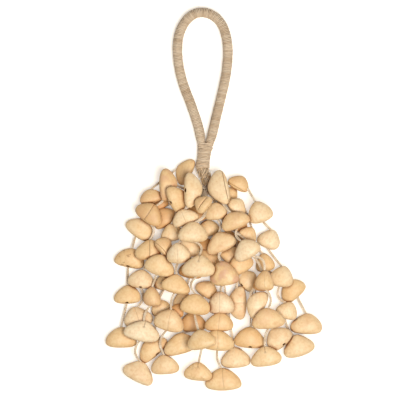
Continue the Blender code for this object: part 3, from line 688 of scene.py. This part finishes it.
# Tone, paler below 0 and brown towards 1, then the share of blush and of stains
nutTones = {
    "N1": (0.30, 0.05, 0), "N2": (0.34, 0.35, 0), "N3": (0.02, 0.0, 0), "N4": (0.34, 0.15, 0),
    "N5": (0.45, 0.15, 0), "N6": (0.26, 0.0, 0), "N8": (0.12, 0.0, 0), "N9": (0.55, 0.0, 0),
    "N11": (0.02, 0.0, 0), "N12": (0.25, 0.1, 0), "N14": (0.35, 0.1, 0), "N21": (-0.12, 0.0, 0),
    "N24": (-0.05, 0.05, 0), "N31a": (0.25, 0.65, 0), "N41": (0.30, 0.0, 0.45), "N45": (0.25, 0.25, 0),
    "N27": (0.25, 0.2, 0), "N53": (-0.24, 0.25, 0), "N61": (-0.18, 0.0, 0), "N55": (0.55, 0.1, 0),
    "N54": (0.34, 0.1, 0), "N66": (0.22, 0.15, 0.15), "N67": (0.22, 0.10, 0), "N69": (0.35, 0.0, 0),
    "N57": (0.22, 0.0, 0), "N64": (0.06, 0.12, 0), "N65": (0.0, 0.15, 0), "N71": (0.0, 0.1, 0),
}

# One shell of each look, modelled with its apex at +Y, and then copied. Lengths are in mm, and
# apexShare and baseShare are the apex's and the base's distance from the middle, as shares of
# the height. Each row shapes one ring of the ball: its place as a share of the nut's height,
# and its half width and half thickness as shares of the widest
shellSize = {"length": 30.0, "height": 19.0, "thick": 13.3, "apexShare": 0.58, "baseShare": 0.46,
             "segments": 16, "rings": 10, "lip": 0.2}
shellRings = {
    "plain": ((-0.455, 0.36, 0.40), (-0.41, 0.70, 0.72), (-0.32, 0.93, 0.93), (-0.17, 1.00, 1.0),
              (0.0, 0.98, 1.0), (0.18, 0.84, 0.94), (0.36, 0.61, 0.77), (0.49, 0.38, 0.53),
              (0.56, 0.18, 0.28)),
    "bell": ((-0.455, 0.38, 0.40), (-0.42, 0.71, 0.72), (-0.33, 0.93, 0.93), (-0.18, 1.00, 1.0),
             (0.0, 0.95, 1.0), (0.18, 0.79, 0.92), (0.36, 0.57, 0.72), (0.50, 0.36, 0.48),
             (0.565, 0.18, 0.26)),
}
# A groove's half width, depth and darkness; the darkness is a seam's own brown, and painted shade in the
# slit and gap openings
shellGrooves = {"seam": (0.5, 0.75, 0.9), "faint": (0.5, 0.40, 0.45), "notch": (0.5, 0.70, 0.8),
                "slit": (0.45, 1.3, 1.0), "gap": (0.55, 2.0, 1.0)}
# Where along the height a seam starts
seamStarts = {"seam": -0.38, "faint": -0.38, "notch": 0.22}
# A hole's radius, and its way into the shell
shellHoles = {"apex": (0.8, (0, -1.5, 0)), "base": (1.1, (0, 2.5, 0)), "open": (3.0, (0, 2.0, -3.2))}
# How near, in mm, a vertex lies to what it is picked by, and how far forward a groove starts:
# front in mm, and gapFront as a share of the thickness
pickSettings = {"near": 0.05, "nearRing": 0.1, "front": 0.3, "gapFront": 0.2}


def pickVertices(test):
    cage = bmesh.from_edit_mesh(bpy.context.object.data)
    for vertex in cage.verts:
        vertex.select = False
    for vertex in cage.verts:
        vertex.select = bool(test(vertex.co / mm))
    cage.select_mode = {"VERT"}
    cage.select_flush_mode()
    bmesh.update_edit_mesh(bpy.context.object.data)


def pickEdges(test):
    cage = bmesh.from_edit_mesh(bpy.context.object.data)
    bpy.ops.mesh.select_mode(type="EDGE")
    for edge in cage.edges:
        edge.select = False
    for edge in cage.edges:
        edge.select = all(test(v.co / mm) for v in edge.verts)
    bmesh.update_edit_mesh(bpy.context.object.data)


def pickedNow():
    return [v.index for v in bmesh.from_edit_mesh(bpy.context.object.data).verts if v.select]


def sinkGroove(shell, look, test):
    # the edges are split into a narrow band, and the band's middle goes inwards and darkens: a seam's own
    # brown, and painted shade in the slit and gap openings
    half, depth, dark = shellGrooves[look]
    pickEdges(test)
    bpy.ops.mesh.bevel(offset=half * mm, segments=2, affect="EDGES")
    bpy.ops.mesh.select_mode(type="VERT")
    pickVertices(test)
    bpy.ops.transform.shrink_fatten(value=-depth * mm)
    found = pickedNow()
    bpy.ops.object.mode_set(mode="OBJECT")
    for index in found:
        shell.data.attributes["crease"].data[index].value = dark
    bpy.ops.object.mode_set(mode="EDIT")


def shapeRings(shell, rings):
    # ring by ring, the ball becomes a shell with a shallow base and a blunt apex
    s = shellSize
    height = s["height"]
    moves = [(-height / 2, -s["baseShare"] * height, 1.0, 1.0)]
    for n, (rise, wide, deep) in enumerate(rings):
        latitude = math.radians((n - (s["rings"] / 2 - 1)) * 180 / s["rings"])
        moves.append((math.sin(latitude) * height / 2, rise * height, wide / math.cos(latitude),
                      deep / math.cos(latitude)))
    moves.append((height / 2, s["apexShare"] * height, 1.0, 1.0))
    groups = []
    for was, _, _, _ in moves:
        pickVertices(lambda c: abs(c.y - was) < pickSettings["near"])
        groups.append(set(pickedNow()))
    for (was, now, wide, deep), group in zip(moves, groups):
        cage = bmesh.from_edit_mesh(shell.data)
        for vertex in cage.verts:
            vertex.select = vertex.index in group
        bmesh.update_edit_mesh(shell.data)
        bpy.ops.transform.resize(value=(wide, 1.0, deep), center_override=(0, 0, 0))
        bpy.ops.transform.translate(value=(0, (now - was) * mm, 0))


def cutGrooves(shell, look, rings):
    height, thick = shellSize["height"], shellSize["thick"]
    p = pickSettings
    # where the two halves of the fruit stone met: a fine groove down the face
    if look in seamStarts:
        lowest = seamStarts[look] * height
        sinkGroove(shell, look, lambda c: abs(c.x) < p["near"] and c.z > p["front"] and c.y > lowest)
    # the rim of the base, where the halves stand a little apart
    if look == "slit":
        rimAt = rings[2][0] * height
        sinkGroove(shell, look, lambda c: abs(c.y - rimAt) < p["nearRing"] and c.z > p["front"])
    # a nut seen end-on, with the slit between its halves along the middle
    if look == "gap":
        sinkGroove(shell, look, lambda c: abs(c.y) < p["nearRing"] and c.z > p["gapFront"] * thick)


def drillHoles(shell, look, rings):
    # the string's hole at the apex, and the one in the base or the wide one that some nuts show
    s = shellSize
    holes = [(Vector((0, s["apexShare"] * s["height"], 0)), *shellHoles["apex"])]
    if look == "open":
        rise, _, deep = rings[1]
        holes.append((Vector((0, rise * s["height"], deep * s["thick"] / 2)), *shellHoles["open"]))
    elif look != "light":
        holes.append((Vector((0, -s["baseShare"] * s["height"], 0)), *shellHoles["base"]))
    for pole, radius, inward in holes:
        bpy.ops.mesh.select_mode(type="VERT")
        cage = bmesh.from_edit_mesh(shell.data)
        nearest = min(cage.verts, key=lambda v: (v.co / mm - pole).length).co / mm
        pickVertices(lambda c: (c - nearest).length < pickSettings["near"])
        bpy.ops.mesh.bevel(offset=radius * mm, segments=1, affect="VERTICES")
        bpy.ops.mesh.select_mode(type="FACE")
        cage = bmesh.from_edit_mesh(shell.data)
        chosen = min(cage.faces, key=lambda f: (f.calc_center_median() / mm - nearest).length)
        for face in cage.faces:
            face.select = face == chosen
        bmesh.update_edit_mesh(shell.data)
        bpy.ops.mesh.inset(thickness=s["lip"] * mm)
        shell.active_material_index = 1
        bpy.ops.object.material_slot_assign()
        bpy.ops.mesh.extrude_region_move(TRANSFORM_OT_translate={"value": [v * mm for v in inward]})
        bpy.ops.mesh.select_more()
        bpy.ops.object.material_slot_assign()


def roundOff(shell, levels):
    # rounding draws the shell in a little, so it is brought back to its size and place
    s = shellSize
    rounder = shell.modifiers.new("rounder", "SUBSURF")
    rounder.levels = levels
    rounder.render_levels = levels
    bpy.ops.object.modifier_apply(modifier=rounder.name)
    low = Vector([min(v.co[i] for v in shell.data.vertices) for i in range(3)])
    high = Vector([max(v.co[i] for v in shell.data.vertices) for i in range(3)])
    sizes = (s["length"], (s["apexShare"] + s["baseShare"]) * s["height"], s["thick"])
    shell.scale = [size * mm / (high[i] - low[i]) for i, size in enumerate(sizes)]
    shell.location = (-(low.x + high.x) / 2 * shell.scale.x,
                      s["apexShare"] * s["height"] * mm - high.y * shell.scale.y,
                      -(low.z + high.z) / 2 * shell.scale.z)
    applyPlace(shell)
    bpy.ops.object.shade_smooth()


def modelShell(look):
    s = shellSize
    rings = shellRings["bell" if look == "bell" else "plain"]
    deselectAll()
    bpy.ops.mesh.primitive_uv_sphere_add(segments=s["segments"], ring_count=s["rings"], radius=1.0,
                                         rotation=(-math.pi / 2, 0, 0))
    shell = bpy.context.object
    shell.name = "shell_" + look
    shell.scale = (s["length"] / 2 * mm, s["thick"] / 2 * mm, s["height"] / 2 * mm)
    applyPlace(shell)
    bpy.ops.object.mode_set(mode="EDIT")
    bpy.ops.mesh.select_mode(type="VERT")
    shapeRings(shell, rings)
    bpy.ops.object.mode_set(mode="OBJECT")
    shell.data.attributes.new("crease", "FLOAT", "POINT")
    shell.data.materials.append(shellMaterial)
    shell.data.materials.append(innerMaterial)
    bpy.ops.object.mode_set(mode="EDIT")
    cutGrooves(shell, look, rings)
    drillHoles(shell, look, rings)
    bpy.ops.mesh.select_all(action="SELECT")
    bpy.ops.mesh.normals_make_consistent(inside=False)
    bpy.ops.object.mode_set(mode="OBJECT")
    roundOff(shell, 1 if look == "light" else 2)
    print("shell", look, len(shell.data.polygons), "faces")
    return shell


shells = {}
for look in ("plain", "bell", "seam", "faint", "notch", "open", "slit", "gap", "light"):
    shells[look] = modelShell(look)


def nodeTree(name):
    node = frame["nodes"][name]
    points = [node.matrix_world @ v.co for v in node.data.vertices]
    return BVHTree.FromPolygons(points, [tuple(p.vertices) for p in node.data.polygons])


# Where a solid is read to place what replaces it: heights in metres, shares of the nut's size
up = Vector((0, 0, 1))
readSettings = {"above": 0.2, "below": -0.1, "along": (-0.26, -0.13, 0.0, 0.13, 0.26),
                "across": (-0.2, -0.1, 0.0, 0.1, 0.2), "thinnest": 0.28}


def lookThrough(solid, place):
    # the solid's top and underside at a place of the picture, each None where nothing is there
    top = solid.ray_cast(Vector((place.x, place.y, readSettings["above"])), -up)[0]
    under = solid.ray_cast(Vector((place.x, place.y, readSettings["below"])), up)[0]
    return top, under


def nutFrame(solid, row):
    # the nut's middle plane, read from its solid by looking at it from above and below
    right, down, length, height, turn = row[:5]
    middle = spot(right, down)
    turn = math.radians(turn)
    along = Vector((math.cos(turn), math.sin(turn), 0))
    across = Vector((-math.sin(turn), math.cos(turn), 0))
    thinnest = readSettings["thinnest"] * height * layout["unit"] * mm
    readings = []
    for a in readSettings["along"]:
        for b in readSettings["across"]:
            off = (along * a * length + across * b * height) * layout["unit"] * mm
            top, under = lookThrough(solid, middle + off)
            if top and under and top.z - under.z > thinnest:
                readings.append((off.x, off.y, 1.0, (top.z + under.z) / 2))
    table = np.array(readings)
    slopeX, slopeY, z = np.linalg.lstsq(table[:, :3], table[:, 3], rcond=None)[0]
    normal = Vector((-slopeX, -slopeY, 1)).normalized()
    along = (along - normal * along.dot(normal)).normalized()
    across = normal.cross(along)
    turned = Matrix((along, across, normal)).transposed().to_4x4()
    return Matrix.Translation((middle.x, middle.y, z)) @ turned


# Each nut's own form and tone: its thickness is a share of its height, and a wave is given by its share of
# the nut's size and its two lengths in mm. The hidden tone, a painted shade brown, is for the hidden nuts,
# whose look is named light
nutSettings = {
    "thickShare": 0.7, "lean": 0.10, "bend": 9.0, "flips": 0.5, "firstSeed": 1000,
    "longWave": (0.018, 4.1, 3.6), "shortWave": (0.012, 2.3, 2.9),
    "tones": (-0.06, 0.28), "blushes": (-0.25, 0.25), "hiddenShadeTone": (0.72, 0.0, 0.0),
}
nutOrder = [name for strand in strands for name in strand]
shapeRng = {name: random.Random(nutSettings["firstSeed"] + n) for n, name in enumerate(nutOrder)}


def placeNut(name, matrix):
    _, _, length, height, _, look = nuts[name]
    s = nutSettings
    chance = shapeRng[name]
    mesh = shells[look].data.copy()
    piece = bpy.data.objects.new("nut" + name, mesh)
    bpy.context.collection.objects.link(piece)
    unit = layout["unit"]
    grow = Matrix.Diagonal((length * unit / shellSize["length"], height * unit / shellSize["height"],
                            height * unit * s["thickShare"] / shellSize["thick"], 1.0))
    lean = Matrix.Identity(4)
    lean[0][1] = chance.uniform(-s["lean"], s["lean"])
    bend = chance.uniform(-s["bend"], s["bend"])
    flip = Matrix.Identity(4)
    if look in ("plain", "bell") and chance.random() < s["flips"]:
        flip = Matrix.Rotation(math.pi, 4, "Y")
    own = np.empty(len(mesh.vertices) * 3)
    mesh.vertices.foreach_get("co", own)
    mesh.transform(lean @ grow @ flip)
    lumps = np.empty(len(mesh.vertices) * 3)
    mesh.vertices.foreach_get("co", lumps)
    lumps = lumps.reshape(-1, 3)
    phase = [chance.uniform(0, 6.28) for _ in range(4)]
    x, y, z = lumps.T / mm
    most, first, second = s["longWave"]
    wave = 1 + most * np.sin(x / first + phase[0]) * np.cos(y / second + phase[1])
    most, first, second = s["shortWave"]
    wave += most * np.sin(y / first + z / second + phase[2])
    lumps *= wave[:, None]
    lumps[:, 0] += bend * lumps[:, 1] ** 2
    mesh.vertices.foreach_set("co", lumps.ravel())
    mesh.transform(matrix)
    shown = nutTones.get(name)
    # the nuts hidden under the heap get the browner hidden tone, painted shade for the shadow they lie in
    if look == "light":
        shown = s["hiddenShadeTone"]
    elif shown is None:
        shown = (chance.uniform(*s["tones"]), max(0.0, chance.uniform(*s["blushes"])), 0.0)
    count = len(mesh.vertices)
    offset = np.array([chance.uniform(-1, 1) for _ in range(3)])
    place = mesh.attributes.new("nutPlace", "FLOAT_VECTOR", "POINT")
    place.data.foreach_set("vector", (own.reshape(-1, 3) + offset).ravel())
    for label, value in zip(("tone", "blush", "spots"), shown):
        mesh.attributes.new(label, "FLOAT", "POINT").data.foreach_set("value", [value] * count)
    return piece


# Strings: each leaves the bundle in its own slot and runs through its nuts to a knot, and a
# second one lies beside its longer runs, because the string is doubled. Sizes are in mm
stringSettings = {
    "radius": 0.65, "plyRadius": 0.46, "plyOffset": 0.32, "plyPitch": 3.6, "plyStep": 0.42, "plies": 2,
    "step": 4.3, "slotRight": 206.0, "slotDown": 185.15, "slotPitchAcross": 2.2, "slotPitchUp": 1.9,
    "lowestSlot": 1.0, "slotsInRow": 4, "bowLimit": 6.0, "bendRadius": 3.2, "inNut": 1.6, "pathStep": 1.0,
    "readStep": 1.1, "flattest": 0.1, "thickest": 2.4, "bows": (0.0, 0.33, -0.33, 0.67, -0.67, 1.0, -1.0),
    "bowCost": 0.3, "tail": 0.6, "softenings": 3, "easings": 400,
    "aside": 0.95, "asideLowest": 0.8, "asideFewest": 5, "asideSoftenings": 5,
}
# These second runs lie wider or on the other side: strand, nut before the run, side in mm
doubledRuns = {(15, "N12"): 1.3, (14, "N13"): 1.2, (13, "N22"): 1.2, (6, "N23"): -1.2, (6, "N28"): 1.3,
               (4, "N29"): -2.6, (12, "N37"): 0.9}


def plied(name, path, s):
    fine = evenLine(path, s["plyStep"] * mm)
    frames = lineFrames(fine)
    lines = []
    for ply in range(s["plies"]):
        points = []
        for n, (_, side, over) in enumerate(frames):
            angle = 2 * math.pi * (n * s["plyStep"] / s["plyPitch"] + ply / s["plies"])
            points.append(fine[n] + (side * math.cos(angle) + over * math.sin(angle)) * s["plyOffset"] * mm)
        lines.append((points, [s["plyRadius"] * mm] * len(points)))
    return bevelledMesh(name, lines)


# The last knot under a nut: an overhand knot, tied once and copied
knotSettings = {"size": 0.50, "stringRadius": 0.45, "steps": 40, "sides": 8}


def makeKnot():
    s = knotSettings
    points = []
    for n in range(s["steps"] + 1):
        t = 2 * math.pi * n / s["steps"]
        out = 2 + math.cos(3 * t)
        around = Vector((out * math.cos(2 * t), out * math.sin(2 * t), math.sin(3 * t)))
        points.append(around * s["size"] * mm)
    return bevelledMesh("knotMaster", [(points, [s["stringRadius"] * mm] * len(points))], s["sides"])


knotMaster = makeKnot()

slots = {}
inRow = stringSettings["slotsInRow"]
for rowStart in range(0, len(strands), inRow):
    group = list(range(rowStart, min(len(strands), rowStart + inRow)))
    group.sort(key=lambda i: nuts[strands[i][0]][0])
    for column, index in enumerate(group):
        slot = spot(stringSettings["slotRight"], stringSettings["slotDown"])
        slot.x += (column - (len(group) - 1) / 2) * stringSettings["slotPitchAcross"] * mm
        slot.z = (stringSettings["lowestSlot"] + rowStart // inRow * stringSettings["slotPitchUp"]) * mm
        slots[index] = slot


def inwards(end, middle):
    return end.lerp(middle, stringSettings["inNut"] * mm / (middle - end).length)


def findRun(solid, start, end):
    # the way of the string between two nuts, found on its solid: straight or bowed to one side
    s = stringSettings
    across = Vector((start.y - end.y, end.x - start.x, 0))
    flat = max(s["flattest"] * mm, across.length)
    across = across / flat
    widest = min(s["bowLimit"] * mm, flat ** 2 / (math.pi ** 2 * s["bendRadius"] * mm))
    steps = max(2, int(round(flat / (s["readStep"] * mm))))
    best = None
    for share in s["bows"]:
        found = []
        for k in range(steps + 1):
            part = k / steps
            place = start.lerp(end, part) + across * share * widest * math.sin(math.pi * part)
            top, under = lookThrough(solid, place)
            thin = top and under and top.z - under.z < s["thickest"] * s["radius"] * mm
            found.append((place, (top.z + under.z) / 2 if thin else None))
        score = sum(z is not None for _, z in found) - s["bowCost"] * abs(share)
        if best is None or score > best[0]:
            best = (score, found)
    found = best[1]
    known = [(k, z) for k, (_, z) in enumerate(found) if z is not None]
    known = [(0, start.z)] + known + [(len(found) - 1, end.z)]
    heights = np.interp(range(len(found)), [k for k, _ in known], [z for _, z in known])
    return [Vector((place.x, place.y, float(z))) for (place, _), z in zip(found, heights)]


def relaxed(line, radius):
    # eases every bend that is tighter than the string would take
    line = softenLine(line, stringSettings["softenings"])
    for _ in range(stringSettings["easings"]):
        tight = False
        for n in range(1, len(line) - 1):
            a, b, c = line[n - 1], line[n], line[n + 1]
            sides = (a - b).length * (b - c).length * (c - a).length
            area = (a - b).cross(c - b).length / 2
            if area > 1e-12 and sides / (4 * area) < radius:
                tight = True
                for m in range(max(1, n - 2), min(len(line) - 1, n + 3)):
                    line[m] = line[m].lerp((line[m - 1] + line[m + 1]) / 2, 0.5)
        if not tight:
            break
    return line


def threadNuts(node, names, start):
    # places one string's nuts, and gives its way through them and its runs between them
    s = stringSettings
    solid = nodeTree(node)
    leaving = start + Vector((0, -s["step"] * mm, 0))
    path = [start, leaving]
    pieces = []
    runs = []
    for name in names:
        row = nuts[name]
        matrix = nutFrame(solid, row)
        height = row[3] * (layout["unit"] * mm)
        apex = matrix @ Vector((0, height * shellSize["apexShare"], 0))
        base = matrix @ Vector((0, -height * shellSize["baseShare"], 0))
        middle = matrix.translation.copy()
        enter, leave = (apex, base) if (apex - leaving).length <= (base - leaving).length else (base, apex)
        run = findRun(solid, leaving, inwards(enter, middle))
        runs.append(run)
        path += run[1:] + [middle]
        leaving = inwards(leave, middle)
        path.append(leaving.copy())
        nut = placeNut(name, matrix)
        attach(nut, "root")
        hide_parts(node)
        pieces.append(nut)
    outward = (leaving - middle).normalized()
    path.append(leaving + outward * s["tail"] * mm)
    return path, outward, runs, pieces


def tieKnot(name, tail, outward):
    # the knot turns with the string's end, and lies on the table where it would go through it
    knot = bpy.data.objects.new(name, knotMaster.data.copy())
    bpy.context.collection.objects.link(knot)
    knot.data.transform(Matrix.Translation(tail) @ outward.to_track_quat("Z", "X").to_matrix().to_4x4())
    lowest = min(v.co.z for v in knot.data.vertices)
    knot.data.transform(Matrix.Translation((0, 0, max(0.0, -lowest))))
    dress(knot, stringMaterial)
    return knot


def laySecond(name, run, aside):
    # the second string bows away from the first between two nuts
    s = stringSettings
    line = softenLine(evenLine(run, s["pathStep"] * mm), s["asideSoftenings"])
    beside = []
    for n, (point, (_, side, _)) in enumerate(zip(line, lineFrames(line))):
        bow = math.sqrt(max(0.0, math.sin(math.pi * n / (len(line) - 1))))
        beside.append(point + side * aside * bow * mm)
        beside[-1].z = max(s["asideLowest"] * mm, beside[-1].z)
    second = plied(name, beside, s)
    dress(second, stringMaterial)
    return second


for index, names in enumerate(strands):
    s = stringSettings
    number = "%02d" % (index + 1)
    node = "strand_" + number
    path, outward, runs, pieces = threadNuts(node, names, slots[index])
    tail = path[-1]
    path = relaxed(evenLine(path, s["pathStep"] * mm), s["bendRadius"] * mm)
    string = plied("string" + number, path, s)
    dress(string, stringMaterial, node)
    pieces.append(tieKnot("knot" + number, tail, outward))
    for before, run in zip((None, *names), runs):
        if len(run) >= s["asideFewest"]:
            aside = doubledRuns.get((index, before), s["aside"] if index % 2 else -s["aside"])
            pieces.append(laySecond("secondRun%s%s" % (number, before), run, aside))

for master in list(shells.values()) + [knotMaster]:
    bpy.data.objects.remove(master, do_unlink=True)

count = 0
for piece in bpy.data.objects:
    if piece.type == "MESH" and not piece.hide_render:
        count += sum(len(face.vertices) - 2 for face in piece.data.polygons)
print("triangles in all", count)
print("seed shaker done")
